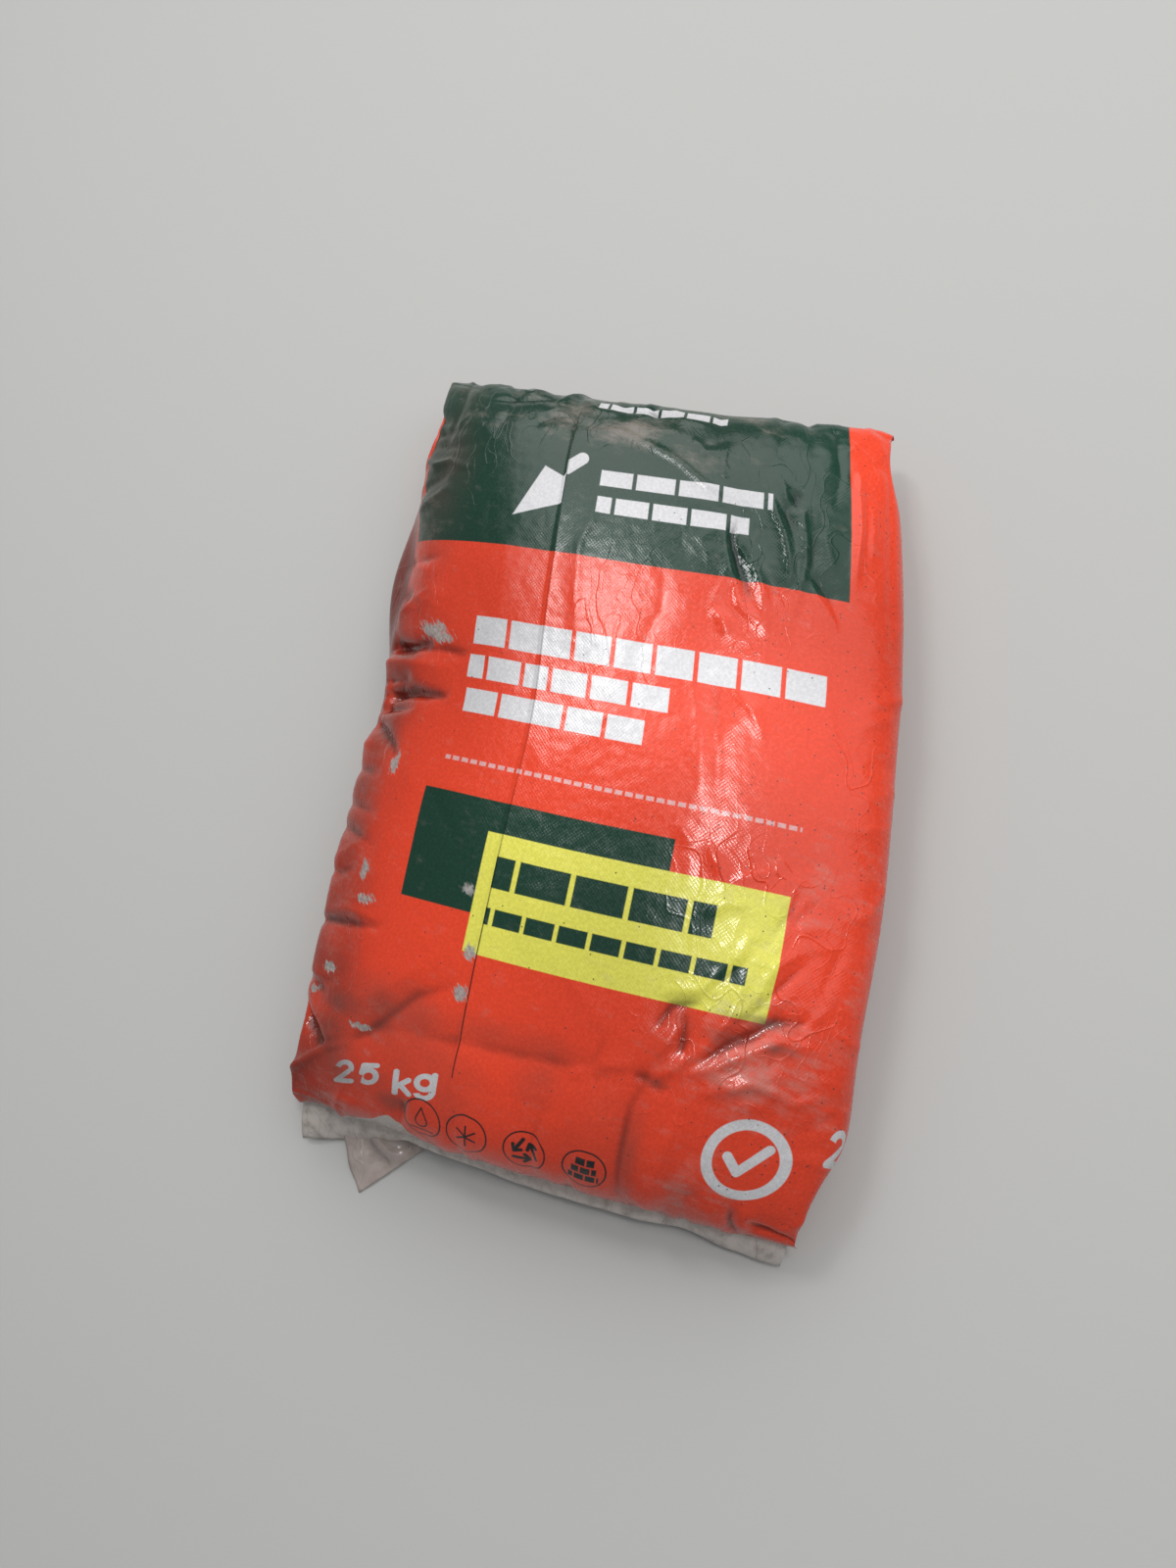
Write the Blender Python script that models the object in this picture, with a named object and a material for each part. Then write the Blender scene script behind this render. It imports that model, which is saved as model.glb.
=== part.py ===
"""A filled 25 kg cement sack, lying on its back panel.

The sack is one gusseted tube of plastic film, heat-sealed flat across both ends. The cement packs
it tight, so film and filling are one solid here. Metres, +Z up. +Y runs from the foot end, where
the white tail of film lies beyond the seal, to the header end. +X is across the front panel.
"""

import bpy
import numpy as np

# Overall size of the filled sack
SACK_LENGTH = 0.572  # seal to seal at the corners
SACK_WIDTH = 0.355  # across the corners of the end seals
SACK_HEIGHT = 0.114  # floor to the crown of the front panel

# Plan outline: how the filled sack leaves the rectangle of the flat film
END_SKEW = 0.016  # the left corners lie this much nearer the header end than the middle
RIGHT_BULGE = 0.030
RIGHT_BULGE_PLACE = -0.055
LEFT_BULGE = -0.002
LEFT_WAIST = 0.006
LEFT_WAIST_PLACE = 0.010
LEFT_WAIST_SPREAD = 0.060
HEADER_DENT = 0.014  # the header seal dips between its corner ears
FOOT_SWELL = 0.005

# Cross-section: two broad panels joined by a gusset web on each side
FRONT_CREASE_HEIGHT = 0.065
BACK_CREASE_HEIGHT = 0.022
BACK_CREASE_INSET = 0.006
LEFT_RIDGE = 0.019  # the back crease stands out on the left, towards the header
LEFT_RIDGE_PLACE = 0.102
LEFT_RIDGE_SPREAD = 0.075
FRONT_CROWN_POWER = 2.7
BACK_BELLY_POWER = 2.2
WEB_BULGE = 0.005  # outwards, at mid length
WEB_TUCK = 0.016  # inwards, near the end seals
WEB_TUCK_PLACE = 0.90  # share of the way from the middle to the seal
WEB_TUCK_SPREAD = 0.09
FLAT_SHARE = 0.72  # share of the back panel's width that lies flat on the floor

# Ends
HEADER_SEAL_HEIGHT = 0.039
FOOT_SEAL_HEIGHT = 0.024
HEADER_BLUFFNESS = 4.0  # power of the end's rounded profile: higher is blunter
FOOT_BLUFFNESS = 3.4
LIFT_START = 0.80  # share of the half length where the back panel leaves the floor
LIFT_POWER = 2.2

# Tails of film beyond the seals
TAIL_THICKNESS = 0.0014
FOOT_TAIL_LENGTH = 0.026
HEADER_TAIL_LENGTH = 0.018
TAIL_BEND_RADIUS = 0.007
FOOT_FREE_SLOPE = 28.0  # degrees below level where the tail lies free at the corners
FOOT_UNDER_TURN = 118.0  # degrees that the tail turns down and under along the middle
LEFT_FREE_LENGTH = 0.088  # of the seal, from the left corner
RIGHT_FREE_LENGTH = 0.034
HEADER_TURN = 96.0

# Pointed flap of film that has slipped out of the left gusset and lies beyond the foot tail
FLAP_LENGTH = 0.034
FLAP_PLACE = 0.049  # from the left corner to its tip
FLAP_HALF_WIDTH = 0.036

# Crumples across the left edge, each as (place along the sack, depth, half width, share of the
# sack's half width that it reaches across)
LEFT_FOLDS = (
    (0.072, 0.0050, 0.011, 0.58),
    (0.034, 0.0045, 0.010, 0.52),
    (-0.004, 0.0035, 0.010, 0.46),
    (-0.120, 0.0025, 0.012, 0.40),
)

# Mesh divisions
PANEL_COLUMNS = 26
WEB_COLUMNS = 6
BODY_ROWS = 42
TAIL_ROWS = 5
ROW_CROWDING = 0.45  # share by which the rows crowd towards the ends, where the sack curves most

SACK_COLOUR = (0.80, 0.075, 0.030, 1.0)
SACK_ROUGHNESS = 0.32


def bell(distance, spread):
    """1 at the middle, falling smoothly to nothing a few spreads away."""
    return np.exp(-((distance / spread) ** 2))


def half_length():
    return SACK_LENGTH / 2


def side_x(along, side):
    """Plan outline of the left (-1) or right (+1) crease at a share of the half length."""
    y = along * half_length()
    corner = SACK_WIDTH / 2
    if side > 0:
        beyond = np.sign(y - RIGHT_BULGE_PLACE)
        reach = half_length() - beyond * RIGHT_BULGE_PLACE
        return corner + RIGHT_BULGE * (1 - ((y - RIGHT_BULGE_PLACE) / reach) ** 2)
    waist = LEFT_WAIST * bell(y - LEFT_WAIST_PLACE, LEFT_WAIST_SPREAD)
    return -(corner + LEFT_BULGE * (1 - along**2) - waist)


def end_y(across, end):
    """Outline of the foot (-1) or header (+1) seal at a share of the half width."""
    if end > 0:
        return half_length() - HEADER_DENT * (1 - across**2)
    return -half_length() - FOOT_SWELL * (1 - across**2)


def plan_point(across, along):
    """X and Y of the film's middle surface: along and across run from -1 to 1."""
    left = side_x(along, -1)
    right = side_x(along, 1)
    x = (left + right) / 2 + across * (right - left) / 2
    share = (along + 1) / 2
    y = end_y(across, -1) * (1 - share) + end_y(across, 1) * share - END_SKEW * across
    return x, y


def end_fullness(along):
    """1 along the body, falling to 0 at a seal on a superellipse, blunter at the header."""
    power = np.where(along > 0, HEADER_BLUFFNESS, FOOT_BLUFFNESS)
    return np.maximum(0.0, 1 - np.abs(along) ** power) ** (1 / power)


def seal_height(along):
    return np.where(along > 0, HEADER_SEAL_HEIGHT, FOOT_SEAL_HEIGHT)


def back_lift(along):
    """Height of the back panel above the floor: none along the body, rising to the seals."""
    rise = np.clip((np.abs(along) - LIFT_START) / (1 - LIFT_START), 0, 1)
    return (seal_height(along) - TAIL_THICKNESS / 2) * rise**LIFT_POWER


def fold_dent(across, along):
    """Depth of the crumples that cross the left edge of the front panel."""
    y = along * half_length()
    dent = np.zeros_like(y + across)
    for place, depth, half_width, reach in LEFT_FOLDS:
        near_edge = np.clip(1 - (across + 1) / reach, 0, 1)
        dent += depth * bell(y - place, half_width) * near_edge
    return dent


def front_z(across, along):
    full = end_fullness(along)
    top_of_seal = seal_height(along) + TAIL_THICKNESS / 2
    crown = top_of_seal + (SACK_HEIGHT - top_of_seal) * full
    crease = top_of_seal + (FRONT_CREASE_HEIGHT - top_of_seal) * full
    arch = 1 - np.abs(across) ** FRONT_CROWN_POWER
    return crease + (crown - crease) * arch - fold_dent(across, along) * full


def back_z(across, along):
    full = end_fullness(along)
    under_seal = seal_height(along) - TAIL_THICKNESS / 2
    lift = back_lift(along)
    crease = under_seal + (BACK_CREASE_HEIGHT - under_seal) * full
    crease = np.maximum(crease, lift)
    edge = np.clip((np.abs(across) - FLAT_SHARE) / (1 - FLAT_SHARE), 0, 1)
    return lift + (crease - lift) * edge**BACK_BELLY_POWER


def web_offset(down, along):
    """How far the gusset web stands out (+) or is tucked in (-), down from 0 to 1."""
    full = end_fullness(along)
    tuck = WEB_TUCK * bell(np.abs(along) - WEB_TUCK_PLACE, WEB_TUCK_SPREAD)
    return (WEB_BULGE - tuck) * np.sin(np.pi * down) * full


def ring(along):
    """One cross-section: front panel left to right, right web, back panel, left web."""
    panel = np.linspace(-1, 1, PANEL_COLUMNS + 1)
    down = np.arange(1, WEB_COLUMNS) / WEB_COLUMNS
    full = end_fullness(along)
    ridge = LEFT_RIDGE * bell(along * half_length() - LEFT_RIDGE_PLACE, LEFT_RIDGE_SPREAD)

    front_x, front_y = plan_point(panel, along)
    front = np.stack([front_x, front_y, front_z(panel, along)], axis=1)

    back_x, back_y = plan_point(panel[::-1], along)
    outwards = -BACK_CREASE_INSET * full * panel[::-1] - ridge * np.clip(-panel[::-1], 0, 1) ** 3
    back_x = back_x + outwards
    back = np.stack([back_x, back_y, back_z(panel[::-1], along)], axis=1)

    right = front[-1] + (back[0] - front[-1]) * down[:, None]
    right[:, 0] += web_offset(down, along)
    left = back[-1] + (front[0] - back[-1]) * down[:, None]
    left[:, 0] -= web_offset(down, along)
    return np.concatenate([front, right, back, left])


def tail_path(length, turn_degrees, height):
    """Steps outwards and downwards along a tail that bends over a small radius to the floor."""
    turn = np.radians(turn_degrees)
    s = np.linspace(0, length, TAIL_ROWS + 1)[1:]
    bend = TAIL_BEND_RADIUS * turn
    angle = np.minimum(s / TAIL_BEND_RADIUS, turn)
    straight = np.maximum(s - bend, 0)
    out = TAIL_BEND_RADIUS * np.sin(angle) + straight * np.cos(turn)
    drop = TAIL_BEND_RADIUS * (1 - np.cos(angle)) + straight * np.sin(turn)
    return out, np.minimum(drop, height - TAIL_THICKNESS), angle


def tail_turn(from_left, end):
    """Degrees that the tail turns down at a distance from the left corner of its seal."""
    if end > 0:
        return np.full_like(from_left, HEADER_TURN)
    from_right = SACK_WIDTH - from_left
    nearest = np.maximum(LEFT_FREE_LENGTH - from_left, RIGHT_FREE_LENGTH - from_right)
    free = np.clip(0.5 + nearest / (2 * TAIL_BEND_RADIUS), 0, 1)
    return FOOT_UNDER_TURN + (FOOT_FREE_SLOPE - FOOT_UNDER_TURN) * free


def tail_length(from_left, end):
    if end > 0:
        return np.full_like(from_left, HEADER_TAIL_LENGTH)
    flap = np.clip(1 - np.abs(from_left - FLAP_PLACE) / FLAP_HALF_WIDTH, 0, 1)
    return FOOT_TAIL_LENGTH + FLAP_LENGTH * flap


def tail_rings(end):
    """Rings that carry the sealed film on past its seal, each a flat loop of the tail."""
    seal = ring(float(end))
    middle = float(seal_height(end))
    side = seal[:, 2] - middle
    from_left = np.clip(seal[:, 0] + SACK_WIDTH / 2, 0, SACK_WIDTH)
    turns = tail_turn(from_left, end)
    lengths = tail_length(from_left, end)
    rings = np.repeat(seal[None], TAIL_ROWS, axis=0)
    for column in range(len(seal)):
        out, drop, angle = tail_path(lengths[column], turns[column], middle)
        rings[:, column, 1] = seal[column, 1] + end * (out + side[column] * np.sin(angle))
        rings[:, column, 2] = middle - drop + side[column] * np.cos(angle)
    return list(rings)


def sack_rings():
    """All rings from the foot tail's free edge to the header tail's."""
    angle = np.linspace(-np.pi / 2, np.pi / 2, BODY_ROWS + 1)
    eased = np.sin(angle)
    stations = (1 - ROW_CROWDING) * eased + ROW_CROWDING * eased**3
    body = [ring(along) for along in stations]
    return tail_rings(-1)[::-1] + body + tail_rings(1)


def centred(points):
    """Puts the middle of the box over the origin, with its lowest point on the floor."""
    low = points.min(axis=0)
    high = points.max(axis=0)
    middle = (low + high) / 2
    return points - (middle[0], middle[1], low[2])


def strip_faces(rows, columns):
    """Quads round a stack of closed rings, facing outwards."""
    row, column = np.mgrid[0 : rows - 1, 0:columns]
    nxt = (column + 1) % columns
    a = row * columns + column
    b = row * columns + nxt
    return np.stack([a, b, b + columns, a + columns], axis=-1).reshape(-1, 4)


def cap_faces(first, columns, flip):
    """Closes a flat end ring by joining each front point to the back point under it."""
    faces = []
    front = list(range(first, first + PANEL_COLUMNS + 1))
    back_start = first + PANEL_COLUMNS + WEB_COLUMNS
    back = list(range(back_start, back_start + PANEL_COLUMNS + 1))[::-1]
    for i in range(PANEL_COLUMNS):
        faces.append([front[i], back[i], back[i + 1], front[i + 1]])
    right_web = list(range(front[-1], back[-1] + 1))
    left_web = list(range(back[0], first + columns)) + [first]
    faces.append(right_web[::-1])
    faces.append(left_web[::-1])
    return [face[::-1] for face in faces] if flip else faces


def make_sack():
    rings = np.array(sack_rings())
    rows, columns = rings.shape[:2]
    points = centred(rings.reshape(-1, 3))
    faces = strip_faces(rows, columns).tolist()
    faces += cap_faces(0, columns, False)
    faces += cap_faces((rows - 1) * columns, columns, True)
    mesh = bpy.data.meshes.new("sack")
    mesh.from_pydata(points.tolist(), [], faces)
    mesh.validate()
    mesh.shade_smooth()
    sack = bpy.data.objects.new("sack", mesh)
    bpy.context.scene.collection.objects.link(sack)
    return sack


def film_material():
    material = bpy.data.materials.new("printed_film")
    material.use_nodes = True
    shader = material.node_tree.nodes["Principled BSDF"]
    shader.inputs["Base Color"].default_value = SACK_COLOUR
    shader.inputs["Roughness"].default_value = SACK_ROUGHNESS
    shader.inputs["Metallic"].default_value = 0.0
    return material


def main():
    for old in list(bpy.data.objects):
        bpy.data.objects.remove(old)
    sack = make_sack()
    sack.data.materials.append(film_material())


main()
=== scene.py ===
"""A filled 25 kg cement sack of printed plastic film, lying on its back panel on a pale floor.

The film is one tube: front panel, right gusset web, back panel, left gusset web. It is worked out
as a grid of rows along the sack and columns round it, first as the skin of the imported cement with
its hollows, and then relaxed as a thin sheet that keeps its lengths, so that the film to spare
stands up in creases. The printing lies in the film's own flat coordinates, in millimetres: u from
the middle of the front panel, v from the foot seal.
"""

import math
from functools import partialmethod

import bpy
import numpy as np
from mathutils import Matrix, Vector


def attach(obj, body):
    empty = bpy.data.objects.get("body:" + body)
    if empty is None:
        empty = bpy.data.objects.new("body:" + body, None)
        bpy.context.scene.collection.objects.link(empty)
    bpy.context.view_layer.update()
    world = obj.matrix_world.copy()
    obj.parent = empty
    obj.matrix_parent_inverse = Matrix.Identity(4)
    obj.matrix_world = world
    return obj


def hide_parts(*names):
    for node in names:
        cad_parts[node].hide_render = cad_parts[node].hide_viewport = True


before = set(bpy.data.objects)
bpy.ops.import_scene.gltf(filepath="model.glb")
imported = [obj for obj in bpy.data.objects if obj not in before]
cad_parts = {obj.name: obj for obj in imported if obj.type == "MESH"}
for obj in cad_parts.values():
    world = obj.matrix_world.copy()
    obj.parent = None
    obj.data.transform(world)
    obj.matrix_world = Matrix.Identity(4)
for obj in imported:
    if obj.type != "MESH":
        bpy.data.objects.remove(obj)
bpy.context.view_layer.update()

# The photograph's camera: focal length and the two vanishing points in pixels of 1200 x 1600,
# counted from the middle of the picture, and its place in metres
PHOTO_HEIGHT = 1600
FOCAL_PIXELS = 1204.0
STRAIGHT_DOWN = (272.0, 344.0)
SACK_SIDES_MEET = (900.0, -4930.0)
CAMERA_PLACE = (0.1967, -0.2097, 0.840)

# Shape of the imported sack, near the solid's (metres, and bare powers and shares)
SACK_LENGTH = 0.572
SACK_WIDTH = 0.355
SACK_HEIGHT = 0.114
BOX_MIDDLE = (0.0106, -0.0084)
END_SKEW = 0.016
RIGHT_BULGE = 0.030
RIGHT_BULGE_PLACE = -0.055
LEFT_BULGE = -0.002
HEADER_DENT = 0.014
FOOT_SWELL = 0.005
FRONT_CREASE_HEIGHT = 0.065
BACK_CREASE_HEIGHT = 0.022
BACK_CREASE_INSET = 0.006
CROWN_POWER = 2.7
WEB_BULGE = 0.005
HEADER_SEAL_HEIGHT = 0.039
FOOT_SEAL_HEIGHT = 0.024
HEADER_BLUFFNESS = 4.0
FOOT_BLUFFNESS = 3.4
LIFT_START = 0.80
LIFT_POWER = 2.2
FLAT_SHARE = 0.72
BELLY_POWER = 2.2
FILM = 0.0005

# Swellings of the sack: size, place along it from its middle, and spread. The tuck of the webs near
# both ends is placed in shares of half the length.
LEFT_WAIST = (0.006, 0.010, 0.060)
LEFT_RIDGE = (0.019, 0.102, 0.075)
LEFT_FOLD_IN = (0.011, 0.112, 0.055)
LEFT_FOLD_OUT = (0.008, 0.112, 0.055)
RIGHT_FOOT_SWELL = (0.013, -0.232, 0.052)
WEB_TUCK = (0.016, 0.90, 0.09)

# Grid of the film, its flat width from crease to crease (metres), and the passes that round the front
# creases off over so many columns
FRONT_COLUMNS = 200
WEB_COLUMNS = 24
BACK_COLUMNS = 44
ROWS = 300
FRONT_FLAT_WIDTH = 0.392
WEB_FLAT_WIDTH = 0.044
LEFT_PASSES = 14
RIGHT_PASSES = 46
ROUNDED_COLUMNS = 14
SEED = 25

# The film never lies lower than this over the floor (millimetres)
LOWEST = 0.3


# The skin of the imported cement


def bell(distance, spread):
    """1 at distance 0, falling as a Gaussian of the given spread."""
    return np.exp(-((distance / spread) ** 2))


def swelling(along, one):
    """Size of one swelling at a place along the sack."""
    size, place, spread = one
    return size * bell(along - place, spread)


def side_x(along, side):
    """Plan outline of the left (-1) or right (+1) crease: a parabola on the right, a waist on the left."""
    y = along * SACK_LENGTH / 2
    corner = SACK_WIDTH / 2
    if side < 0:
        return -(corner + LEFT_BULGE * (1 - along**2) - swelling(y, LEFT_WAIST))
    reach = SACK_LENGTH / 2 - np.sign(y - RIGHT_BULGE_PLACE) * RIGHT_BULGE_PLACE
    return corner + RIGHT_BULGE * (1 - ((y - RIGHT_BULGE_PLACE) / reach) ** 2)


def plan_point(across, along):
    """X and Y at shares of the half width and half length, both from -1 to 1."""
    left = side_x(along, -1)
    right = side_x(along, 1)
    x = (left + right) / 2 + across * (right - left) / 2
    header = SACK_LENGTH / 2 - HEADER_DENT * (1 - across**2)
    foot = -SACK_LENGTH / 2 - FOOT_SWELL * (1 - across**2)
    share = (along + 1) / 2
    return x, foot * (1 - share) + header * share - END_SKEW * across


def fullness(along):
    """1 along the body, falling to 0 at each seal on a superellipse."""
    power = np.where(along > 0, HEADER_BLUFFNESS, FOOT_BLUFFNESS)
    return np.maximum(0.0, 1 - np.abs(along) ** power) ** (1 / power)


def seal_height(across, along):
    """Height of the nearer seal, rippled along it by two sine waves."""
    ripple = 0.0016 * np.sin(9.7 * across + 0.6 + along) + 0.0009 * np.sin(23.0 * across + 2.0 * along)
    return np.where(along > 0, HEADER_SEAL_HEIGHT, FOOT_SEAL_HEIGHT) + ripple


def front_z(across, along):
    """Front panel: from the crease up to the crown, as 1 minus a power of the share across."""
    full = fullness(along)
    seal = seal_height(across, along) + FILM / 2
    crown = seal + (SACK_HEIGHT - seal) * full
    crease = seal + (FRONT_CREASE_HEIGHT - seal) * full
    return crease + (crown - crease) * (1 - np.abs(across) ** CROWN_POWER)


def back_z(across, along):
    """Back panel: flat on the floor, rising to the creases and, near the ends, to the seals."""
    full = fullness(along)
    seal = seal_height(across, along) - FILM / 2
    rise = np.clip((np.abs(along) - LIFT_START) / (1 - LIFT_START), 0, 1)
    lift = seal * rise**LIFT_POWER
    crease = np.maximum(seal + (BACK_CREASE_HEIGHT - seal) * full, lift)
    edge = np.clip((np.abs(across) - FLAT_SHARE) / (1 - FLAT_SHARE), 0, 1)
    return lift + (crease - lift) * edge**BELLY_POWER


def row_stations():
    """Shares of the half length at which the rows lie, even by the film's length over the crown."""
    fine = np.sin(np.linspace(-np.pi / 2, np.pi / 2, 4001))
    middle = np.zeros_like(fine)
    y = plan_point(middle, fine)[1]
    length = np.concatenate([[0], np.cumsum(np.hypot(np.diff(y), np.diff(front_z(middle, fine))))])
    v = np.linspace(0, length[-1], ROWS + 1)
    return np.interp(v, length, fine), v


def round_creases(sheet, full):
    """Evens the columns beside both front creases, more where the sack is full: each pass moves a
    point towards the middle of its two neighbours by a share that falls away from the crease."""
    column = np.arange(sheet.shape[1])
    for crease, passes in ((WEB_COLUMNS, LEFT_PASSES), (WEB_COLUMNS + FRONT_COLUMNS, RIGHT_PASSES)):
        share = (0.5 * full * bell(column - crease, ROUNDED_COLUMNS))[..., None]
        for _ in range(passes):
            middle = (sheet[:, :-2] + sheet[:, 2:]) / 2
            sheet[:, 1:-1] += share[:, 1:-1] * (middle - sheet[:, 1:-1])


def packed_skin():
    """The sheet from the left back crease over the front panel to the right back crease, the back
    panel from right to left, and the flat coordinates u (columns) and v (rows), all in millimetres."""
    along, v = row_stations()
    along = along[:, None]
    y_along = along * SACK_LENGTH / 2
    full = fullness(along)
    across = np.linspace(-1, 1, FRONT_COLUMNS + 1)[None]
    front = np.stack([*plan_point(across, along), front_z(across, along)], axis=-1)
    swell = swelling(y_along, RIGHT_FOOT_SWELL)
    front[..., 0] += swelling(y_along, LEFT_FOLD_IN) * np.clip(-across, 0, 1) ** 8
    front[..., 0] += 0.7 * swell * np.clip(across, 0, 1) ** 5

    behind = np.linspace(1, -1, BACK_COLUMNS + 1)[None]
    x, y = plan_point(behind, along)
    x = x - BACK_CREASE_INSET * full * behind - swelling(y_along, LEFT_RIDGE) * np.clip(-behind, 0, 1) ** 3
    back = np.stack([x, y, back_z(behind, along)], axis=-1)

    down = (np.arange(1, WEB_COLUMNS) / WEB_COLUMNS)[None]
    out = (WEB_BULGE - swelling(np.abs(along), WEB_TUCK)) * np.sin(np.pi * down) * full
    right = front[:, -1:] + (back[:, :1] - front[:, -1:]) * down[..., None]
    right[..., 0] += out + swell * (0.3 * np.sin(np.pi * down) + 0.7 * down**2)
    left = back[:, -1:] + (front[:, :1] - back[:, -1:]) * down[..., None]
    left[..., 0] -= np.flip(out, axis=1)
    sheet = np.concatenate([back[:, -1:], left, front, right, back[:, :1]], axis=1)
    round_creases(sheet, full)
    up_the_web = (np.arange(WEB_COLUMNS + 1) / WEB_COLUMNS)[None]
    sheet[:, : WEB_COLUMNS + 1, 0] -= swelling(y_along, LEFT_FOLD_OUT) * bell(up_the_web - 0.42, 0.20)

    half = FRONT_FLAT_WIDTH / 2
    web = np.linspace(0, WEB_FLAT_WIDTH, WEB_COLUMNS + 1)
    u = np.concatenate([-half - web[:0:-1], np.linspace(-half, half, FRONT_COLUMNS + 1), half + web[1:]])
    shift = np.array([*BOX_MIDDLE, 0.0])
    return (sheet - shift) * 1000, (back - shift) * 1000, u * 1000, v * 1000


# Hollows pressed into the cement and creases of spare film, in the film's flat millimetres. Each is
# (1 where it is deepest at its middle or 0 at its start, height, half width, u, v, u, v and so on).

LEFT_TUCKS = (
    (0, -17, 4.6, -204, 380, -188, 379, -172, 379, -148, 385),
    (1, -3.2, 7, -165, 378, -138, 380, -112, 378), (0, 4.4, 6, -200, 366, -165, 366, -125, 366),
    (0, -8.5, 3, -204, 352, -182, 354, -166, 358),
    (0, -16, 4.6, -204, 341, -186, 342, -160, 345, -124, 345),
    (0, -10.5, 3.2, -204, 331, -188, 330, -156, 333),
    (0, -9.5, 3.8, -204, 320, -186, 315, -166, 303, -157, 293),
    (0, 2.6, 6, -200, 302, -180, 300, -168, 290), (0, -4.6, 4.2, -204, 283, -186, 283, -168, 280),
    (0, -5, 4.2, -204, 257, -184, 256, -160, 252), (0, -4.8, 4.2, -204, 240, -184, 238, -153, 229),
    (0, -4, 4.6, -204, 206, -188, 207, -168, 214),
    (0, -5.4, 3.6, -204, 171, -176, 174, -150, 176, -128, 180), (1, 1.6, 5, -182, 183, -150, 185),
    (0, -4.6, 4.6, -204, 131, -192, 130, -172, 122), (1, -8.5, 4.6, -206, 118, -192, 103, -168, 88),
    (0, 4.2, 3.6, -200, 62, -188, 70, -168, 87, -138, 101),
    (1, -3.9, 11, -172, 86, -130, 108, -94, 142, -62, 158), (1, 1.6, 11, -150, 124, -118, 140, -90, 166),
    (0, -3.8, 5, -204, 447, -188, 446, -150, 452), (0, -3.2, 5, -204, 419, -190, 418, -168, 408),
    (0, -3, 6, -204, 502, -190, 508, -160, 520), (0, -3.4, 7, -204, 558, -192, 556, -150, 560),
)
FOOT_FOLDS = (
    (1, -2.6, 11, -140, 112, -48, 122, 36, 128, 88, 131), (1, -1.7, 4.6, 66, 133, 80, 129, 92, 124),
    (1, 2, 5, 24, 118, 46, 131, 68, 136), (1, -3.4, 6, 76, 128, 70, 110, 71, 80, 73, 50, 74, 12),
    (1, 2.6, 8, 100, 116, 97, 80, 92, 20), (1, 2.8, 14, 52, 124, 50, 90, 50, 55),
    (1, 1.8, 4, 20, 96, 16, 66, 18, 40), (1, 2.6, 3.8, 96, 136, 114, 145, 137, 162, 153, 170, 174, 168),
    (1, -3.4, 6, 98, 142, 120, 160, 146, 180, 172, 184), (1, -2.8, 4.2, 90, 176, 92, 160, 94, 146),
    (1, 1.8, 3, 97, 141, 116, 170, 136, 197), (1, 1.5, 3, 104, 150, 118, 180, 122, 204),
    (1, -1.7, 3.6, 112, 160, 132, 186, 158, 222), (1, 1.2, 3, 122, 232, 110, 204),
    (1, 1.5, 3, 121, 140, 139, 144, 157, 149), (1, 1.2, 2.6, 116, 146, 121, 138, 130, 136),
    (1, 1.5, 4, 176, 196, 164, 180, 150, 176), (1, -4.2, 2.6, 149, 62, 152, 42, 156, 14),
    (1, 1.6, 3, 158, 64, 160, 44, 162, 16), (1, -4, 3.6, 160, 50, 178, 42, 200, 32),
    (0, -2.4, 5, 120, 60, 118, 14), (1, -2.4, 7, 12, 104, 10, 60, 8, 12), (1, 2.4, 8, -34, 96, -44, 14),
    (0, -3.4, 6, -92, 66, -98, 10), (0, 1.6, 6, -140, 52, -146, 8),
    (1, 1.1, 2.6, 83, 281, 90, 270, 98, 258), (1, 1.1, 2.6, 104, 262, 120, 268, 137, 279),
    (1, 1.1, 2.8, 60, 292, 74, 276),
)
HEADER_FOLDS = (
    (1, 2, 3, 70, 500, 84, 446, 104, 430), (1, 2, 3, 92, 482, 100, 458, 105, 432),
    (1, -1.6, 4.5, 80, 486, 92, 450), (1, 2, 3, 100, 536, 114, 502, 119, 474, 113, 456),
    (1, 1.8, 3.2, 124, 536, 130, 486, 121, 442), (1, 1.6, 3, 129, 488, 138, 462, 152, 441),
    (1, 2, 3.2, 166, 560, 167, 520, 163, 476), (1, 1.6, 3.2, 178, 545, 176, 500),
    (0, -2.3, 5, 150, 600, 153, 560, 148, 530), (1, -1.8, 6, 188, 620, 192, 560, 190, 470, 192, 420),
    (0, -2.3, 5, 110, 610, 108, 570, 96, 545), (0, -2.1, 5.5, 60, 606, 62, 575, 52, 548),
    (0, 1.8, 6, 0, 610, -6, 575), (0, -2.1, 5.5, -60, 606, -58, 570, -66, 545),
    (0, -2.3, 6, -120, 612, -118, 575, -128, 550), (0, -2.6, 6, -170, 620, -168, 580, -180, 540),
    (1, 1, 5, -20, 520, -36, 470, -30, 400), (1, -0.9, 5, 72, 400, 78, 350, 86, 300),
    (1, 0.8, 5, 58, 400, 66, 350, 74, 300),
    (1, 1.7, 2.6, -42, 566, -19, 570, 8, 560, 30, 550, 55, 532, 80, 526),
    (1, -2.2, 3.2, -140, 588, -108, 592, -86, 597, -62, 586), (1, 1.5, 2.6, -58, 606, -40, 590, -22, 588),
    (1, -1.8, 2.8, -30, 612, -14, 596, 4, 598, 20, 588), (1, 1.6, 2.6, -12, 580, 4, 572, 26, 578),
    (1, 1.5, 2.6, 20, 604, 32, 590, 50, 588), (1, -1.4, 3, -90, 566, -74, 580, -60, 576),
    (1, -1.6, 2.8, 10, 614, 4, 600, 14, 584), (1, 1.4, 2.6, 40, 572, 52, 560, 66, 566),
    (1, 1.6, 2.8, -122, 612, -104, 604, -92, 614),
)

# How far the crest of a crease is rounded off (millimetres)
CREST = 1.6

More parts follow.
